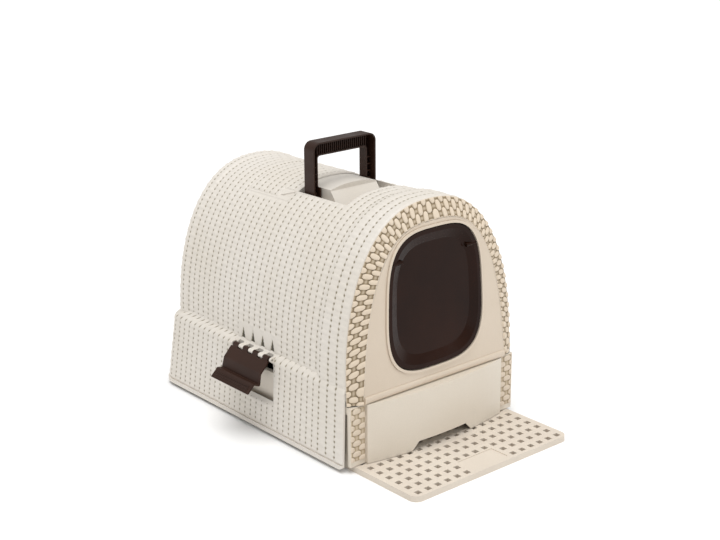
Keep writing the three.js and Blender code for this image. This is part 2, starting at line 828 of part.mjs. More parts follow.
// A dished flap: flat rim, bevel and a sunk middle, with a boss at each hinge pin.
function doorFlap() {
  const dish = (grow, from, to) =>
    doorBody([to, from], (y) => flapGap + flapRim + grow + (y === to ? flapBevel : 0));
  const plate = doorRing(flapGap, flapFront, flapFront + flapThickness);
  const back = flapFront + flapDish;
  const pan = dish(-flapThickness, flapFront, back + flapThickness);
  const sunk = dish(0, flapFront - 0.01, back);
  const bosses = [-1, 1].map((side) =>
    rodX(
      flapBossRadius,
      side > 0 ? doorSide - flapPinLength : -doorSide + flapGap + 1,
      side > 0 ? doorSide - flapGap - 1 : -doorSide + flapPinLength,
      pinY,
      pinHeight,
      16,
    ),
  );
  return union([plate, pan])
    .subtract(sunk)
    .add(union(bosses))
    .subtract(rodX(flapPinRadius + gap, -doorSide - 9, -doorSide + flapPinLength - 4, pinY, pinHeight))
    .subtract(rodX(flapPinRadius + gap, doorSide - flapPinLength + 4, doorSide + 9, pinY, pinHeight));
}

function doorPin(side) {
  const x0 = doorSide - flapPinLength + 5;
  const x1 = doorSide + bezelWidth - 0.5;
  const low = Math.min(side * x0, side * x1);
  const high = Math.max(side * x0, side * x1);
  return rodX(flapPinRadius, low, high, pinY, pinHeight, 16);
}

// ---------------------------------------------------------------- carrying handle, about its pivot
function handleOutline(half, low, high, corner) {
  return roundedRectangle(-half, half, low, high, corner);
}

function carryHandle() {
  const rear = handleDepth / 2;
  const opening = (offset) =>
    handleOutline(
      handleHalfWidth - handleLeg + offset,
      -handleTop,
      handleTop - handleBar + offset,
      Math.max(2, handleCorner - handleLeg + 6 + offset),
    );
  const outer = handleOutline(handleHalfWidth, -handleTop, handleTop, handleCorner);
  const inset = handleHalfWidth - handleSkin;
  const channel = handleOutline(inset, -handleTop + 2, handleTop - handleSkin, handleCorner - handleSkin);
  const legEnd = rodX(rear, -handleHalfWidth, handleHalfWidth, 0, 0, 28);
  const above = box(-handleHalfWidth, handleHalfWidth, -rear, rear, 0, handleTop);
  const inside = union([
    rodX(rear - handleSkin, -handleHalfWidth, handleHalfWidth, 0, 0, 28),
    box(-handleHalfWidth, handleHalfWidth, -rear - 1, rear - handleSkin, 0, handleTop),
  ]);
  const blank = prismY(outer, -rear, rear, 6)
    .intersect(above.add(legEnd))
    .subtract(prismY(opening(0), -rear - 1, rear + 1, 5));
  const hollow = prismY(channel, -rear - 1, rear + 1, 6)
    .subtract(prismY(opening(handleSkin), -rear - 2, rear + 2, 5))
    .intersect(inside);
  const shallow = prismY(opening(handleSkin + 0.01), -rear - 1, rear - handleInnerDepth, 5).intersect(
    box(-handleHalfWidth, handleHalfWidth, -rear - 2, rear, rear + 2, handleTop),
  );
  let handle = blank.subtract(hollow).subtract(shallow);
  const barSpan = handleHalfWidth - handleLeg;
  const ribFront = rear - handleInnerDepth + 1;
  for (const x of span(-barSpan, barSpan, handleRibs - 1)) {
    const w = handleRibThickness / 2;
    const low = handleTop - handleBar + 1;
    handle = handle.add(box(x - w, x + w, ribFront, rear - 1, low, handleTop - 1));
  }
  for (const side of [-1, 1]) {
    const x0 = Math.min(side * (barSpan + 1), side * (handleHalfWidth - 1));
    const x1 = Math.max(side * (barSpan + 1), side * (handleHalfWidth - 1));
    for (const share of [0.34, 0.52, 0.7]) {
      const z = share * (handleTop - handleBar);
      handle = handle.add(box(x0, x1, ribFront, rear - 1, z, z + handleRibThickness));
    }
    handle = handle.add(rodX(handlePivotRadius + 2.5, x0, x1, 0, 0, 20));
  }
  const bore = rodX(handlePivotRadius + gap, -handleHalfWidth - 1, handleHalfWidth + 1, 0, 0);
  return handle.subtract(bore);
}

function handlePin(side) {
  const x0 = side * (islandHalf - hoodWall + 0.5);
  const x1 = side * (recessHalf + hoodWall - 0.5);
  return rodX(handlePivotRadius, Math.min(x0, x1), Math.max(x0, x1), handlePivotY, pivotHeight);
}

// ---------------------------------------------------------------- latch, closed, about its hinge
function latch(side) {
  const out = latchStand;
  const inner = out - latchSkin;
  const start = knuckleRadius + runningGap + 0.5;
  const plateEnd = hookDepth - latchHookRun;
  const profile = [
    [inner, -start],
    [inner, -plateEnd],
    [-latchHook, -hookDepth],
    [-latchHook + latchSkin * 0.4, -hookDepth - latchSkin],
    [inner, -hookDepth - latchHookBelow],
    [inner + 1, -latchDrop],
    [inner + 1 + latchSkin, -latchDrop],
    [out, -hookDepth - latchHookBelow + 1],
    [-latchHook + 2 * latchSkin, -hookDepth],
    [out, -plateEnd + 1],
    [out, -start],
  ];
  const half = latchWidth / 2;
  const plate = sidePrismY(side, profile, -half, half);
  const parts = [plate];
  for (let i = 0; i < knuckles; i++) {
    const y = knuckleY(i);
    const w = knuckleWidth / 2;
    parts.push(rodY(knuckleRadius, y - w, y + w, 0, 0, 20));
    parts.push(sideBox(side, inner, out, y - w, y + w, -start - 1, -1));
  }
  for (const share of [0.35, 0.6, 0.85]) {
    const z = -hookDepth - latchHookBelow - share * latchLip;
    parts.push(sideBox(side, inner + 1, out + 1.6, -half + 6, half - 6, z, z + 1.6));
  }
  return union(parts).subtract(rodY(latchRodRadius + gap, -half - 1, half + 1, 0, 0));
}

// ---------------------------------------------------------------- filter lid, basket and pad
const basketFront = lidFront + basketInset;
const basketRear = lidRear - basketInset;
const basketLow = hoodHeight - bandStep - rearTaper / 2 - basketDepth - lidThickness;

function filterLid() {
  const skin = roofPatch(lidHalfWidth, lidFront, lidRear, 0, lidThickness);
  const top = roofPatch(lidHalfWidth + 2, lidFront - 1, lidRear + 1, -2, lidNotchDepth);
  const notches = [-1, 1].map((side) => {
    const tip = side * (lidHalfWidth - 20 + lidNotch);
    const root = side * (lidHalfWidth - 20);
    const drawn = [
      [tip, lidFront - 2],
      [tip, lidFront + lidNotchLength],
      [root, lidFront - 2],
    ];
    const shape = polygon(side > 0 ? drawn : drawn.reverse());
    return prismZ(shape, springHeight, hoodHeight + 9).intersect(top);
  });
  return skin.subtract(union(notches));
}

function filterBasket() {
  const half = basketHalfWidth;
  const under = lidThickness + gap;
  const rim = roofPatch(
    half + basketFlange,
    basketFront - basketFlange,
    basketRear + basketFlange,
    under,
    lidThickness + ledgeDrop - gap,
  );
  const cup = box(-half, half, basketFront, basketRear, basketLow, hoodHeight).intersect(
    roofBody(under, basketFront - 9, basketRear + 9),
  );
  const inside = box(
    -half + basketWall,
    half - basketWall,
    basketFront + basketWall,
    basketRear - basketWall,
    basketLow + basketWall,
    hoodHeight + 9,
  );
  const pitch = (2 * half - 4 * basketWall) / basketSlots;
  const slots = span(0, (basketSlots - 1) * pitch, basketSlots - 1).map((across) => {
    const x = across - ((basketSlots - 1) * pitch) / 2;
    return box(
      x - pitch * 0.3,
      x + pitch * 0.3,
      basketFront + 3 * basketWall,
      basketRear - 3 * basketWall,
      basketLow - 1,
      basketLow + basketWall + 1,
    );
  });
  return rim.add(cup).subtract(inside).subtract(union(slots));
}

function filterPad() {
  const side = basketWall + gap;
  const low = basketLow + basketWall + gap;
  return box(
    -basketHalfWidth + side,
    basketHalfWidth - side,
    basketFront + side,
    basketRear - side,
    low,
    low + padThickness,
  );
}

// ---------------------------------------------------------------- assembly
const wovenPlastic = finish(colours.weave, 0.62);
const plastic = finish(colours.beige, 0.5);
const matPlastic = finish(colours.mat, 0.7);
const darkPlastic = finish(colours.brown, 0.38);
const smoked = finish(colours.smoke, 0.1);
const carbon = finish(colours.carbon, 0.95);
const wire = finish(colours.steel, 0.3, 1);

function latchGroup(side) {
  const name = side < 0 ? "left" : "right";
  const group = new THREE.Group();
  group.name = "latch_group_" + name;
  group.position.set(side * hingeOut, 0, hingeHeight);
  group.rotation.y = (-side * latchOpenAngle * Math.PI) / 180;
  group.add(mesh("latch_" + name, latch(side), darkPlastic.clone()));
  return group;
}

function hood() {
  const group = new THREE.Group();
  group.name = "hood";
  group.position.z = seatedHeight;
  group.add(mesh("hood_shell", hoodShell(), wovenPlastic));
  group.add(mesh("front_panel", frontPanel(), plastic.clone()));
  group.add(mesh("door_bezel", doorBezel(), plastic.clone()));
  group.add(mesh("door_flap", doorFlap(), smoked));
  group.add(mesh("filter_lid", filterLid(), wovenPlastic.clone()));
  group.add(mesh("filter_basket", filterBasket(), plastic.clone()));
  group.add(mesh("filter_pad", filterPad(), carbon));
  const handle = mesh("carry_handle", carryHandle(), darkPlastic);
  handle.position.set(0, handlePivotY, pivotHeight);
  group.add(handle);
  for (const side of [-1, 1]) {
    const name = side < 0 ? "left" : "right";
    group.add(mesh("door_pin_" + name, doorPin(side), wire.clone()));
    group.add(mesh("handle_pin_" + name, handlePin(side), wire.clone()));
    const rod = rodY(latchRodRadius, -windowHalf, windowHalf, side * hingeOut, hingeHeight, 14);
    group.add(mesh("latch_rod_" + name, rod, wire.clone()));
    group.add(latchGroup(side));
  }
  return group;
}

const litterBox = new THREE.Group();
litterBox.name = "cat_litter_box";
litterBox.position.y = -(matFront + skirtRearBottom + flangeOut) / 2;
litterBox.add(mesh("tray", tray(), plastic));
litterBox.add(mesh("paw_mat", pawMat(), matPlastic));
litterBox.add(hood());

export default litterBox;
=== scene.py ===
"""Looks of a hooded cat litter box: woven skins, plastics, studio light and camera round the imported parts.

Blender works in metres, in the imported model's frame. The woven skins are worked out in millimetres in the
hood's own frame, whose z starts at the hood's lower edge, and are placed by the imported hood's box.
"""
import math

import bpy
import numpy as np
from mathutils import Matrix, Vector


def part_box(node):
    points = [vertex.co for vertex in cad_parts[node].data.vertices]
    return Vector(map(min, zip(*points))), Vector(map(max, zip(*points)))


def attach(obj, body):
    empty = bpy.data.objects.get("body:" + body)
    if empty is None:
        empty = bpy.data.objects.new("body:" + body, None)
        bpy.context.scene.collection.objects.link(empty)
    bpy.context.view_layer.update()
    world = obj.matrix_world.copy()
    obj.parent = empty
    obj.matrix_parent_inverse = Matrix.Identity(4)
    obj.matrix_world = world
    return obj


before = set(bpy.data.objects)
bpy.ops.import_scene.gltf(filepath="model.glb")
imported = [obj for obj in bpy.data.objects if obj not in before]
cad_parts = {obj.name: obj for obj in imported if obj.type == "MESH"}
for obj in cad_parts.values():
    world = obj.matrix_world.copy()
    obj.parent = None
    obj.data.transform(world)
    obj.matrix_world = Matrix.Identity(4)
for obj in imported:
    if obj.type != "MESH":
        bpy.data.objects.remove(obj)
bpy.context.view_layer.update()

MM = 0.001

# ------------------------------------------------------------ the hood's surfaces, millimetres
ARCH_HALF = 180
ARCH_SPRING = 121  # height of the arch's feet
ARCH_RISE = 283
ARCH_POWER = 2.33  # superellipse exponent
ARCH_SAMPLES = 20001
HOOD_FRONT = -233
HOOD_REAR = 236
BAND_END = -170  # rear end of the raised front band
BAND_STEP = 5
BAND_RUN = 8  # length of the step behind the band
TAPER = 5  # the roof draws in by this much from the front band to the rear
REAR_BAND = 30  # width of the raised band at the rear
REAR_RISE = 2
REAR_RUN = 6
REAR_ROUND = 8
LEAN = 0.035  # the entrance leans back by this much per millimetre of height
LEAN_ZERO = 140
BULGE_HALF_LOW = 187.5
BULGE_HALF_HIGH = 183
BULGE_REAR_LOW = 275
BULGE_REAR_HIGH = 252
BULGE_TOP = 127
BULGE_CORNER = 30
SHOULDER = 20
SHOULDER_HALF = 169
SHOULDER_REAR = 224
SIDE_FROM = 161  # the bulge's sides lie beyond this distance from the middle
FLANGE_TOP = 7
FLANGE_REAR = 277.5
FACE_FRONT = -246  # the entrance panel
FACE_HALF = 154
FACE_RISE = 251
FACE_POWER = 2.9
FACE_TAPER = 0.00055
BORDER_WIDTH = 29
BORDER_DROP = 14  # the border goes on below the arch's feet by this much
BORDER_START = 0.03  # the border's skin starts partly raised, as if from this share of its width
TRAY_STRIP_FRONT = -242.5

# Rectangles: lowest and highest of the first axis, then of the second.
RECESS = (-72, 72, -111, 13.5)  # x, y
LID = (-92, 92, 16.5, 126.5)  # x, y
LID_NOTCH = (76, 96, 12, 44)  # x, y, on either side
LATCH_WINDOW = (-54, 54, 52, 147)  # y, z
TRAY_STRIP = (148.5, 179.5, 18, 111)  # x, z above the floor

# The plain patch with pointed slots over each latch.
SLOT_PITCH = 27
SLOT_FOOT = 143
SLOT_RISE = 18
SLOT_HALF = 4.8
SLOT_EDGE = 1.2
PATCH_HALF = 57
PATCH_TOP = 168
PATCH_EDGE = 4
PATCH_HEIGHT = 0.7  # as a share of the weave's relief

# ------------------------------------------------------------ the weave, millimetres and shares of its relief
COLUMN = 15.05
BAND_COLUMN = 21
ROW = 8.83
BODY_RELIEF = 2.2
STRAND_ROUND_U = 0.7  # cosine exponents of a strand's swelling
STRAND_ROUND_V = 0.5
OVER_BASE = 0.5
UNDER_BASE = 0.52
UNDER_RISE = 0.2
PIT_LONG = 2.5
PIT_SHORT = 1.7
PIT_LEAN = 0.45  # pits lean to one side and the other by turns
GROOVE = 0.18
GROOVE_HALF = 1.1

BORDER_COLUMN = 11.6
BORDER_ROW = 9.0
BORDER_RELIEF = 3.0
TRAY_COLUMN = 12.4
TRAY_RELIEF = 2.2
STRAND_HALF = 0.66  # shares of a column and of a row
STRAND_THICK = 0.53
STRAND_BLUNT = 2.8
STRAND_BASE = 0.4
RIB_HEIGHT = 0.4
RIB_WAVE = 0.4  # how much lower a rib is between rows

CLEAR = 0.15  # a skin's pits over the plastic
SINK = 0.7  # a skin's edges under the plastic
EDGE = 3  # run over which a skin sinks at its edge
BULGE_EDGE = 2.5  # the same for the bulge and the tray's strips
BORDER_EDGE = 1.5
REAR_EDGE = 4
FAR = 9  # more than any edge's run
SEAM = 1.5  # from the lid's outline to the weave on either side
RECESS_MARGIN = 1  # from the handle's recess to the weave
REAR_MARGIN = 1.5  # from the roof's last row to the hood's rear
OVERLAP = 1  # a grid goes past its surface's edges by this much
STEP_CALM = 5  # the weave is flat on the step behind the band and full this far from its middle
STEP = 1.45  # mesh spacing of the close weave
BORDER_STEP = 0.9  # mesh spacing of the open weave
BORDER_ACROSS = 40  # points across the border
STRIP_ACROSS = 46  # points across a tray strip

# ------------------------------------------------------------ places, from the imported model
hood_low, hood_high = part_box("hood_shell")
HOOD_ORIGIN = np.array([0.0, hood_high.y / MM - FLANGE_REAR, hood_low.z / MM])
TRAY_ORIGIN = np.array([0.0, HOOD_ORIGIN[1], 0.0])

# Heights in the mat between which its pockets' floors take painted shade, metres.
POCKET_HEIGHTS = (0.005, 0.0075)

# ------------------------------------------------------------ camera and studio, metres and degrees
CAMERA_PLACE = (-1.4540, -1.7114, 0.9871)
CAMERA_YAW = 40.45
CAMERA_PITCH = 18.17
CAMERA_ROLL = -0.41
CAMERA_LENS = 70.3
CAMERA_SENSOR = 36
CAMERA_REACH = 60
FLOOR_HALF = 12
SKY_COLOUR = (1, 0.995, 0.985, 1)
SKY_LIGHT = 0.62
SKY_SEEN = 1
KEY_DIRECTION = (0.16, 0.14, -1)
KEY_SPREAD = 50
KEY_POWER = 2.0
FRONT_PLACE = (0.9, -1.9, 1.15)
FRONT_AIM = (0, -0.1, 0.1)
FRONT_SIZE = 0.9
FRONT_POWER = 5


# ------------------------------------------------------------ shapes
def smooth(t):
    """A step from 0 to 1 with soft ends."""
    t = np.clip(t, 0, 1)
    return t * t * (3 - 2 * t)


def skin_inset(y):
    """How far the roof lies inside the front band's surface."""
    step = BAND_STEP * smooth((y - BAND_END) / BAND_RUN)
    taper = TAPER * np.maximum(0, (y - BAND_END) / (HOOD_REAR - BAND_END))
    rise = REAR_RISE * smooth((y - HOOD_REAR + REAR_BAND) / REAR_RUN)
    turn = np.clip(y - HOOD_REAR + REAR_ROUND, 0, REAR_ROUND)
    return step + taper - rise + REAR_ROUND - np.sqrt(REAR_ROUND**2 - turn**2)


def signed_power(value, power):
    """A power that keeps the value's sign."""
    return np.sign(value) * np.abs(value) ** power


def arch(angle):
    """The front band's outline at an angle of its superellipse."""
    across = ARCH_HALF * signed_power(np.cos(angle), 2 / ARCH_POWER)
    up = ARCH_SPRING + ARCH_RISE * np.abs(np.sin(angle)) ** (2 / ARCH_POWER)
    return across, up


def arch_by_length(step):
    """Angles of points evenly spaced along the arch, and their distance from its left foot."""
    fine = np.linspace(math.pi, 0, ARCH_SAMPLES)
    x, z = arch(fine)
    length = np.concatenate([[0], np.cumsum(np.hypot(np.diff(x), np.diff(z)))])
    count = int(round(length[-1] / step)) + 1
    at = np.linspace(0, length[-1], count)
    return np.interp(at, length, fine), at


def roof(angle, y):
    """Points of the roof's skin."""
    x0, z0 = arch(angle)
    inset = skin_inset(y)
    x = x0 * (1 - inset / ARCH_HALF)
    z = ARCH_SPRING + (z0 - ARCH_SPRING) * (1 - inset / ARCH_RISE)
    lean = LEAN * (z0 - LEAN_ZERO) * smooth((BAND_END - y) / (BAND_END - HOOD_FRONT))
    return np.stack([x, y + lean, z], -1)


def roof_grid(ys):
    """The roof's points over all its angles and the given ys, their ys and their row counts."""
    angles, length = arch_by_length(STEP)
    grid_angle, grid_y = np.meshgrid(angles, ys, indexing="ij")
    rows = np.repeat(((length - length[-1] / 2) / ROW)[:, None], len(ys), 1)
    return roof(grid_angle, grid_y), grid_y, rows


def on_top(points):
    """Whether points lie on the upper half of the arch."""
    return points[..., 2] > ARCH_SPRING + ARCH_RISE / 2


# Lengths along the bulge's plan: a side, a corner, the back and the whole.
BULGE_SIDE = BULGE_REAR_LOW - BULGE_CORNER - HOOD_FRONT
BULGE_TURN = BULGE_CORNER * math.pi / 2
BULGE_BACK = 2 * (BULGE_HALF_LOW - BULGE_CORNER)
BULGE_LENGTH = 2 * BULGE_SIDE + 2 * BULGE_TURN + BULGE_BACK


def bulge(along, z):
    """Points of the bulge, by distance along its plan from the left front corner."""
    mirrored = along > BULGE_SIDE + BULGE_TURN + BULGE_BACK / 2
    along = np.where(mirrored, BULGE_LENGTH - along, along)
    angle = np.clip((along - BULGE_SIDE) / BULGE_CORNER, 0, math.pi / 2)
    x = -BULGE_HALF_LOW + BULGE_CORNER * (1 - np.cos(angle))
    x = x + np.maximum(0, along - BULGE_SIDE - BULGE_TURN)
    x = np.where(mirrored, -x, x)
    y = HOOD_FRONT + np.minimum(along, BULGE_SIDE) + BULGE_CORNER * np.sin(angle)
    rise = np.minimum(z / BULGE_TOP, 1)
    shoulder = smooth((z - BULGE_TOP) / SHOULDER)
    half = BULGE_HALF_LOW + (BULGE_HALF_HIGH - BULGE_HALF_LOW) * rise
    half = half + (SHOULDER_HALF - half) * shoulder
    rear = BULGE_REAR_LOW + (BULGE_REAR_HIGH - BULGE_REAR_LOW) * rise
    rear = rear + (SHOULDER_REAR - rear) * shoulder
    share = (y - HOOD_FRONT) / (BULGE_REAR_LOW - HOOD_FRONT)
    return np.stack([x * half / BULGE_HALF_LOW, HOOD_FRONT + share * (rear - HOOD_FRONT), z], -1)


def bevel(angle, t):
    """Points of the border between the roof's front edge, t = 0, and the entrance panel, t = 1."""
    x0, z0 = arch(angle)
    up = FACE_RISE * np.abs(np.sin(angle)) ** (2 / FACE_POWER)
    face_x = FACE_HALF * (1 - FACE_TAPER * up) * signed_power(np.cos(angle), 2 / FACE_POWER)
    x = x0 + (face_x - x0) * t
    z = z0 + (ARCH_SPRING + up - z0) * t
    y = HOOD_FRONT + (FACE_FRONT - HOOD_FRONT) * t + LEAN * (z0 - LEAN_ZERO)
    return np.stack([x, y, z], -1)


def weave(u, v):
    """Height of the hood's close weave, 0 in its pits and 1 on top: u counts ribs and v counts rows."""
    column = np.floor(u)
    row = np.floor(v)
    du = u - column - 0.5
    dv = v - row - 0.5
    over = (column + row) % 2 == 0
    swell = np.cos(math.pi * du) ** STRAND_ROUND_U * np.cos(math.pi * dv) ** STRAND_ROUND_V
    strand = OVER_BASE + (1 - OVER_BASE) * swell
    rib = UNDER_BASE + UNDER_RISE * np.cos(math.pi * dv) * np.cos(math.pi * du) ** 2
    body = np.where(over, strand, rib)
    corner_u = np.round(u)
    corner_v = np.round(v)
    off_u = (u - corner_u) * COLUMN
    off_v = (v - corner_v) * ROW
    lean = np.where((corner_u + corner_v) % 2 == 0, PIT_LEAN, -PIT_LEAN)
    long = off_v + lean * off_u
    short = off_u - lean * off_v
    pit = np.exp(-((long / PIT_LONG) ** 2) - (short / PIT_SHORT) ** 2)
    groove = GROOVE * np.exp(-((off_u / GROOVE_HALF) ** 2)) * ~over
    return np.clip((body - groove) * (1 - pit), 0, 1)


def open_weave(u, v):
    """Height of the border's open weave: plump strands that lie over low, shaded ribs."""
    column = np.floor(u)
    row = np.floor(v)
    du = u - column - 0.5
    dv = v - row - 0.5
    over = (column + row) % 2 == 0
    reach = np.where(over, np.abs(du), 1 - np.abs(du)) / STRAND_HALF
    inside = 1 - reach**STRAND_BLUNT - np.abs(dv / STRAND_THICK) ** STRAND_BLUNT
    strand = STRAND_BASE + (1 - STRAND_BASE) * np.sqrt(np.clip(inside, 0, 1))
    strand = np.where(strand > STRAND_BASE, strand, 0)
    wave = 1 - RIB_WAVE + RIB_WAVE * np.cos(math.pi * dv)
    rib = RIB_HEIGHT * np.cos(math.pi * du) ** 2 * wave
    return np.clip(np.maximum(strand, rib), 0, 1)


def outside(a, b, area):
    """Distance outside a rectangle, negative inside."""
    low_a, high_a, low_b, high_b = area
    return np.maximum(np.maximum(low_a - a, a - high_a), np.maximum(low_b - b, b - high_b))


def columns(y):
    """Rib count along the hood: wide ribs on the front band, narrower behind it."""
    return np.where(y < BAND_END, (y - BAND_END) / BAND_COLUMN, (y - BAND_END) / COLUMN)


def make_mesh(name, points, quads, relief):
    """An object from grid points and quads, with the weave's height as a point attribute."""
    mesh = bpy.data.meshes.new(name)
    used, index = np.unique(quads, return_inverse=True)
    corners = (points.reshape(-1, 3)[used] * MM).astype(np.float32)
    count = len(quads)
    mesh.vertices.add(len(corners))
    mesh.vertices.foreach_set("co", corners.ravel())
    mesh.loops.add(count * 4)
    mesh.loops.foreach_set("vertex_index", index.reshape(-1).astype(np.int32))
    mesh.polygons.add(count)
    mesh.polygons.foreach_set("loop_start", np.arange(0, count * 4, 4, dtype=np.int32))
    mesh.update(calc_edges=True)
    mesh.validate()
    attribute = mesh.attributes.new("relief", "FLOAT", "POINT")
    attribute.data.foreach_set("value", relief.reshape(-1)[used].astype(np.float32))
    mesh.shade_smooth()
    piece = bpy.data.objects.new(name, mesh)
    bpy.context.scene.collection.objects.link(piece)
    return piece


def skin(name, base, height, depth, fade, body, material, flip, origin=HOOD_ORIGIN):
    """A woven skin over a grid of surface points, riding on a body: fade 0 folds it under the surface."""
    normal = np.cross(np.gradient(base, axis=0), np.gradient(base, axis=1))
    if flip:
        normal = -normal
    normal /= np.maximum(np.linalg.norm(normal, axis=-1, keepdims=True), 1e-9)
    lift = (CLEAR + depth * height) * fade - SINK * (1 - fade)
    points = base + normal * lift[..., None] + origin
    rows, count = height.shape
    index = np.arange(rows * count).reshape(rows, count)
    quads = np.stack([index[:-1, :-1], index[1:, :-1], index[1:, 1:], index[:-1, 1:]], -1)
    if flip:
        quads = quads[..., ::-1]
    visible = fade > 0
    keep = visible[:-1, :-1] | visible[1:, :-1] | visible[1:, 1:] | visible[:-1, 1:]
    relief = height * fade + (1 - fade)
    piece = make_mesh(name, points, quads[keep], relief)
    piece.data.materials.append(material)
    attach(piece, body)


# ------------------------------------------------------------ materials
def linear(*srgb):
    """A linear colour from three sRGB shares."""
    return tuple(c / 12.92 if c <= 0.04045 else ((c + 0.055) / 1.055) ** 2.4 for c in srgb) + (1,)


class Nodes:
    """A short way to write a material's nodes."""

    def __init__(self, name):
        self.material = bpy.data.materials.new(name)
        self.material.use_nodes = True
        self.tree = self.material.node_tree
        self.shader = self.tree.nodes["Principled BSDF"]
        self.place = self.add("ShaderNodeTexCoord").outputs["Object"]

    def add(self, kind, **values):
        node = self.tree.nodes.new(kind)
        for key, value in values.items():
            setattr(node, key, value)
        return node

    def link(self, source, target):
        self.tree.links.new(source, target)

    def noise(self, scale, detail, stretch=None):
        node = self.add("ShaderNodeTexNoise")
        node.inputs["Scale"].default_value = scale
        node.inputs["Detail"].default_value = detail
        source = self.place
        if stretch:
            mapping = self.add("ShaderNodeMapping")
            mapping.inputs["Scale"].default_value = stretch
            self.link(source, mapping.inputs["Vector"])
            source = mapping.outputs["Vector"]
        self.link(source, node.inputs["Vector"])
        return node.outputs["Fac"]

    def span(self, value, given, wanted):
        """A value mapped from the given range to the wanted one."""
        node = self.add("ShaderNodeMapRange")
        self.link(value, node.inputs["Value"])
        for key, number in zip(("From Min", "From Max", "To Min", "To Max"), given + wanted):
            node.inputs[key].default_value = number
        return node.outputs["Result"]

    def colour(self):
        """What now feeds the shader's base colour."""
        return self.shader.inputs["Base Color"].links[0].from_socket

    def set_colour(self, source):
        self.link(source, self.shader.inputs["Base Color"])

    def mix(self, factor, first, second):
        node = self.add("ShaderNodeMix", data_type="RGBA")
        for socket, value in zip((0, 6, 7), (factor, first, second)):
            if isinstance(value, (tuple, float, int)):
                node.inputs[socket].default_value = value
            else:
                self.link(value, node.inputs[socket])
        return node.outputs[2]

    def bump(self, height, strength, distance, normal=None):
        node = self.add("ShaderNodeBump")
        node.inputs["Strength"].default_value = strength
        node.inputs["Distance"].default_value = distance
        self.link(height, node.inputs["Height"])
        if normal:
            self.link(normal, node.inputs["Normal"])
        return node.outputs["Normal"]

    def set(self, **values):
        for key, value in values.items():
            self.shader.inputs[key.replace("_", " ")].default_value = value


def moulded(name, base, shade, rough, grain=900, grain_depth=0.00006):
    """Moulded plastic: soft colour drift, dark speckle, a fine spark-eroded grain and faint flow marks."""
    n = Nodes(name)
    drift = n.span(n.noise(scale=9, detail=4), (0.3, 0.7), (0, 1))
    speckle = n.span(n.noise(scale=420, detail=2), (0.35, 0.65), (0, 1))
    colour = n.mix(drift, linear(*base), linear(*shade))
    dark = linear(*[share * 0.9 for share in base])
    n.set_colour(n.mix(n.span(speckle, (0, 1), (0, 0.12)), colour, dark))
    wear = n.noise(scale=26, detail=5, stretch=(1, 1, 2.5))
    n.link(n.span(wear, (0.3, 0.7), (rough - 0.07, rough + 0.07)), n.shader.inputs["Roughness"])
    fine = n.bump(n.noise(scale=grain, detail=2), strength=0.55, distance=grain_depth)
    flow = n.bump(n.noise(scale=14, detail=2), strength=0.25, distance=0.0012, normal=fine)
    n.link(flow, n.shader.inputs["Normal"])
    n.set(IOR=1.5)
    return n


def woven(name, base, shade, pit, darkest_shade_below, low, high):
    """Woven-look plastic with painted shade: it turns to the pit colour, a painted shade for the weave's pits
    and low ribs, as the relief falls from high to low, and darker still near the relief's bottom.
    """
    n = moulded(name, base, shade, rough=0.52)
    relief = n.add("ShaderNodeAttribute", attribute_name="relief").outputs["Fac"]
    colour = n.mix(n.span(relief, (low, high), (1, 0)), n.colour(), linear(*pit))
    dark = linear(*[share * 0.55 for share in pit])
    n.set_colour(n.mix(n.span(relief, (0, darkest_shade_below), (1, 0)), colour, dark))
    return n.material


def smoked_plastic():
    n = moulded("smoked_plastic", (0.12, 0.062, 0.04), (0.17, 0.09, 0.058), rough=0.16)
    n.set(Specular_IOR_Level=0.1)
    return n.material


def brown_plastic():
    n = moulded("dark_brown", (0.185, 0.115, 0.085), (0.22, 0.14, 0.105), rough=0.45)
    n.set(Specular_IOR_Level=0.2)
    return n.material


def paw_mat_plastic():
    """The mat's plastic with painted shade in its pockets: below their mouths, on faces that look up."""
    n = moulded("mat_beige", (0.85, 0.81, 0.755), (0.82, 0.775, 0.72), rough=0.62)
    place = n.add("ShaderNodeSeparateXYZ")
    n.link(n.place, place.inputs["Vector"])
    facing = n.add("ShaderNodeSeparateXYZ")
    n.link(n.add("ShaderNodeNewGeometry").outputs["Normal"], facing.inputs["Vector"])
    # Painted shade on the pockets' floors: darker below the pockets' mouths on faces that look up.
    pocket_shade = n.add("ShaderNodeMath", operation="MULTIPLY")
    n.link(n.span(place.outputs["Z"], POCKET_HEIGHTS, (1, 0)), pocket_shade.inputs[0])
    n.link(n.span(facing.outputs["Z"], (0.5, 0.9), (0, 1)), pocket_shade.inputs[1])
    n.set_colour(n.mix(pocket_shade.outputs["Value"], n.colour(), linear(0.5, 0.47, 0.43)))
    return n.material


def felt():
    n = moulded("carbon_felt", (0.07, 0.07, 0.07), (0.11, 0.11, 0.11), 0.95, grain=600, grain_depth=0.0004)
    n.set(Sheen_Weight=0.4)
    return n.material


def steel_wire():
    n = Nodes("steel_wire")
    streak = n.noise(scale=60, detail=3, stretch=(30, 1, 1))
    n.set_colour(n.mix(streak, linear(0.62, 0.62, 0.63), linear(0.75, 0.75, 0.75)))
    n.link(n.span(streak, (0.3, 0.7), (0.2, 0.38)), n.shader.inputs["Roughness"])
    n.set(Metallic=1.0)
    return n.material


CREAM = (0.865, 0.842, 0.81)
CREAM_SHADE = (0.845, 0.817, 0.775)
BEIGE = (0.835, 0.78, 0.71)
BEIGE_SHADE = (0.81, 0.75, 0.675)
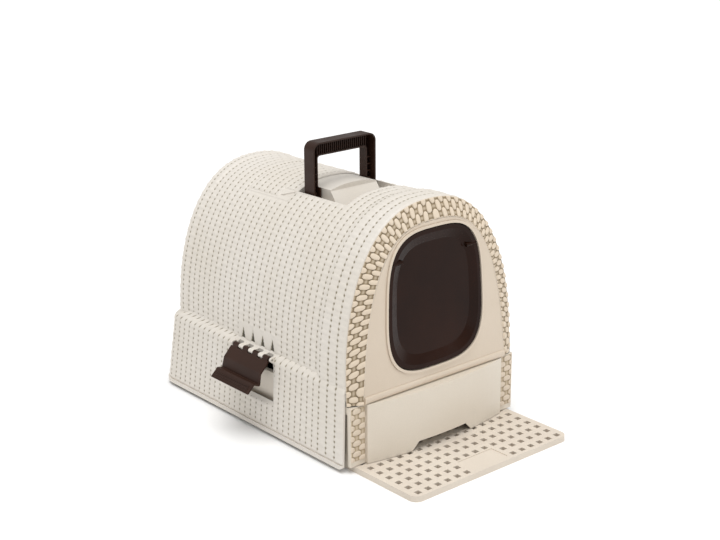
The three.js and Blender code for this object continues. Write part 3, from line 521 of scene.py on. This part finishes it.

# The pit colours below are painted shade for the weave's pits, slots and low ribs, not a colour of the
# plastic.
weave_cream = woven(
    "weave_cream",
    base=CREAM,
    shade=CREAM_SHADE,
    pit=(0.50, 0.46, 0.36),
    darkest_shade_below=0.12,
    low=0.12,
    high=0.46,
)
weave_border = woven(
    "weave_border",
    base=(0.86, 0.80, 0.72),
    shade=(0.84, 0.775, 0.69),
    pit=(0.55, 0.48, 0.37),
    darkest_shade_below=0.12,
    low=0.22,
    high=0.55,
)
weave_strip = woven(
    "weave_strip",
    base=(0.85, 0.79, 0.72),
    shade=(0.83, 0.77, 0.69),
    pit=(0.68, 0.61, 0.50),
    darkest_shade_below=0.12,
    low=0.22,
    high=0.5,
)
shell_cream = moulded("shell_cream", CREAM, CREAM_SHADE, rough=0.5).material
tray_cream = moulded("tray_cream", (0.865, 0.83, 0.775), (0.85, 0.81, 0.75), rough=0.46).material
panel_beige = moulded("panel_beige", BEIGE, BEIGE_SHADE, rough=0.42).material
mat_beige = paw_mat_plastic()
dark_brown = brown_plastic()
MATERIALS = {
    "hood_shell": shell_cream,
    "filter_lid": shell_cream,
    "tray": tray_cream,
    "front_panel": panel_beige,
    "door_bezel": panel_beige,
    "filter_basket": tray_cream,
    "paw_mat": mat_beige,
    "carry_handle": dark_brown,
    "latch_left": dark_brown,
    "latch_right": dark_brown,
    "door_flap": smoked_plastic(),
    "filter_pad": felt(),
}
steel = steel_wire()
for node_name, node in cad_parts.items():
    node.data.materials.clear()
    node.data.materials.append(MATERIALS.get(node_name, steel))


# ------------------------------------------------------------ woven skins
def latch_slots(y, z, height):
    """The weave's height with a plain patch over a latch, and a pointed slot above each pair of knuckles; the
    slots sink to the pits' height, so the weave's material gives them its painted shade.
    """
    patch = smooth((PATCH_HALF - np.abs(y)) / PATCH_EDGE) * smooth((PATCH_TOP - z) / PATCH_EDGE)
    height = height + (PATCH_HEIGHT - height) * patch
    centre = SLOT_PITCH * (np.floor(y / SLOT_PITCH) + 0.5)
    half = SLOT_HALF * (1 - (z - SLOT_FOOT) / SLOT_RISE)
    cut = smooth((half - np.abs(y - centre)) / SLOT_EDGE + 0.5)
    return np.where(np.abs(y) < 2 * SLOT_PITCH, height * (1 - cut), height)


def halves(name, count):
    """Names and rows of a skin's left and right halves, which share their middle row."""
    middle = count // 2
    return ((name + "_left", slice(0, middle + 1)), (name + "_right", slice(middle, None)))


def roof_skins():
    base, y, rows = roof_grid(np.arange(HOOD_FRONT, HOOD_REAR - REAR_MARGIN, STEP))
    height = weave(columns(y), rows)
    edge = np.minimum(y - HOOD_FRONT, HOOD_REAR - EDGE - y)
    recess = outside(base[..., 0], y, RECESS) - RECESS_MARGIN
    lid = outside(base[..., 0], y, LID) - SEAM
    hole = np.where(on_top(base), np.minimum(recess, lid), FAR)
    fade = smooth(np.minimum(edge, hole) / EDGE)
    from_step = np.abs(y - BAND_END - BAND_RUN / 2)
    height = 1 - (1 - height) * smooth(from_step / STEP_CALM)
    height = latch_slots(y, base[..., 2], height)
    for name, part in halves("roof_weave", len(base)):
        skin(name, base[part], height[part], BODY_RELIEF, fade[part], "hood", weave_cream, flip=False)


def bulge_skins():
    along = np.arange(0, BULGE_LENGTH + STEP / 2, STEP)
    heights = np.arange(FLANGE_TOP - OVERLAP, BULGE_TOP + SHOULDER + OVERLAP, STEP)
    grid_along, grid_z = np.meshgrid(along, heights, indexing="ij")
    base = bulge(grid_along, grid_z)
    from_front = np.minimum(grid_along, BULGE_LENGTH - grid_along)
    height = weave(columns(from_front + HOOD_FRONT), (grid_z - ARCH_SPRING) / ROW)
    on_side = np.abs(base[..., 0]) > SIDE_FROM
    window = np.where(on_side, outside(base[..., 1], grid_z, LATCH_WINDOW), FAR)
    edge = np.minimum(from_front, window) / BULGE_EDGE
    fade = smooth(np.minimum(edge, (grid_z - FLANGE_TOP) / EDGE))
    for name, part in halves("bulge_weave", len(base)):
        skin(name, base[part], height[part], BODY_RELIEF, fade[part], "hood", weave_cream, flip=True)


def rear_skin():
    x = np.arange(-ARCH_HALF, ARCH_HALF + OVERLAP, STEP)
    z = np.arange(BULGE_TOP, ARCH_SPRING + ARCH_RISE, STEP)
    grid_x, grid_z = np.meshgrid(x, z, indexing="ij")
    inset = BAND_STEP + TAPER + REAR_ROUND - REAR_RISE
    half = ARCH_HALF - inset
    across = (np.abs(grid_x) / half) ** ARCH_POWER
    up = (np.maximum(0, grid_z - ARCH_SPRING) / (ARCH_RISE - inset)) ** ARCH_POWER
    size = (across + up) ** (1 / ARCH_POWER)
    base = np.stack([grid_x, np.full_like(grid_x, HOOD_REAR), grid_z], -1)
    height = weave(grid_x / COLUMN, (grid_z - ARCH_SPRING) / ROW)
    fade = smooth((1 - size) * half / REAR_EDGE)
    skin("rear_weave", base, height, BODY_RELIEF, fade, "hood", weave_cream, flip=True)


def border_skin():
    angles, length = arch_by_length(BORDER_STEP)
    total = length[-1]
    along = np.arange(-BORDER_DROP, total + BORDER_DROP, BORDER_STEP)
    across = np.linspace(0, 1, BORDER_ACROSS)
    grid_along, grid_t = np.meshgrid(along, across, indexing="ij")
    base = bevel(np.interp(grid_along, length, angles), grid_t)
    drop = np.maximum(0, np.maximum(-grid_along, grid_along - total))
    base[..., 2] -= drop
    base[..., 1] -= LEAN * drop
    rows = (grid_along - total / 2) / BORDER_ROW
    height = open_weave(grid_t * BORDER_WIDTH / BORDER_COLUMN + 0.5, rows)
    fade = smooth(np.minimum(grid_t + BORDER_START, 1 - grid_t) * BORDER_WIDTH / BORDER_EDGE)
    skin("border_weave", base, height, BORDER_RELIEF, fade, "hood", weave_border, flip=True)


def lid_skin():
    base, y, rows = roof_grid(np.arange(LID[2], LID[3], STEP))
    height = weave(columns(y), rows)
    inside = np.where(on_top(base), -outside(base[..., 0], y, LID), -FAR)
    notch = outside(np.abs(base[..., 0]), y, LID_NOTCH)
    fade = smooth((np.minimum(inside, notch) - SEAM) / EDGE)
    skin("lid_weave", base, height, BODY_RELIEF, fade, "filter_lid", weave_cream, flip=False)


def strip_skins():
    for side, name in ((-1, "tray_weave_left"), (1, "tray_weave_right")):
        x = np.linspace(TRAY_STRIP[0], TRAY_STRIP[1], STRIP_ACROSS) * side
        z = np.arange(TRAY_STRIP[2], TRAY_STRIP[3], BORDER_STEP)
        grid_x, grid_z = np.meshgrid(x, z, indexing="ij")
        base = np.stack([grid_x, np.full_like(grid_x, TRAY_STRIP_FRONT), grid_z], -1)
        height = open_weave((np.abs(grid_x) - TRAY_STRIP[0]) / TRAY_COLUMN, grid_z / BORDER_ROW)
        fade = smooth(-outside(np.abs(grid_x), grid_z, TRAY_STRIP) / BULGE_EDGE)
        skin(
            name,
            base,
            height,
            TRAY_RELIEF,
            fade,
            "tray",
            weave_strip,
            flip=side < 0,
            origin=TRAY_ORIGIN,
        )


roof_skins()
bulge_skins()
rear_skin()
border_skin()
lid_skin()
strip_skins()


# ------------------------------------------------------------ floor, light and camera
def add_object(name, data):
    made = bpy.data.objects.new(name, data)
    bpy.context.scene.collection.objects.link(made)
    return made


def make_floor():
    mesh = bpy.data.meshes.new("floor")
    corners = [(-1, -1), (1, -1), (1, 1), (-1, 1)]
    mesh.from_pydata([(x * FLOOR_HALF, y * FLOOR_HALF, 0) for x, y in corners], [], [(0, 1, 2, 3)])
    n = Nodes("floor")
    n.set(Base_Color=(0.93, 0.93, 0.93, 1), Roughness=0.9)
    mesh.materials.append(n.material)
    floor = add_object("floor", mesh)


def make_sky():
    """A soft white surround that the camera sees brighter than it lights."""
    world = bpy.data.worlds.new("studio")
    bpy.context.scene.world = world
    world.use_nodes = True
    nodes = world.node_tree.nodes
    sky = nodes["Background"]
    sky.inputs["Color"].default_value = SKY_COLOUR
    strength = nodes.new("ShaderNodeMapRange")
    strength.inputs["To Min"].default_value = SKY_LIGHT
    strength.inputs["To Max"].default_value = SKY_SEEN
    path = nodes.new("ShaderNodeLightPath")
    world.node_tree.links.new(path.outputs["Is Camera Ray"], strength.inputs["Value"])
    world.node_tree.links.new(strength.outputs["Result"], sky.inputs["Strength"])


def aim_light(name, data, direction):
    lamp = add_object(name, data)
    lamp.rotation_euler = Vector(direction).to_track_quat("-Z", "Y").to_euler()
    return lamp


def make_lights():
    key = bpy.data.lights.new("key", "SUN")
    key.energy = KEY_POWER
    key.angle = math.radians(KEY_SPREAD)
    aim_light("key", key, KEY_DIRECTION)
    front = bpy.data.lights.new("front", "AREA")
    front.size = FRONT_SIZE
    front.energy = FRONT_POWER
    lamp = aim_light("front", front, Vector(FRONT_AIM) - Vector(FRONT_PLACE))
    lamp.location = FRONT_PLACE


def make_camera():
    yaw = math.radians(CAMERA_YAW)
    pitch = math.radians(CAMERA_PITCH)
    roll = math.radians(CAMERA_ROLL)
    ahead = Vector((math.sin(yaw) * math.cos(pitch), math.cos(yaw) * math.cos(pitch), -math.sin(pitch)))
    level = Vector((math.cos(yaw), -math.sin(yaw), 0))
    upright = level.cross(ahead)
    right = level * math.cos(roll) + upright * math.sin(roll)
    up = upright * math.cos(roll) - level * math.sin(roll)
    data = bpy.data.cameras.new("camera")
    data.lens = CAMERA_LENS
    data.sensor_width = CAMERA_SENSOR
    data.clip_end = CAMERA_REACH
    camera = add_object("camera", data)
    turn = Matrix((right, up, -ahead)).transposed().to_4x4()
    camera.matrix_world = Matrix.Translation(CAMERA_PLACE) @ turn
    bpy.context.scene.camera = camera


make_floor()
make_sky()
make_lights()
make_camera()
bpy.context.scene.view_settings.view_transform = "Standard"
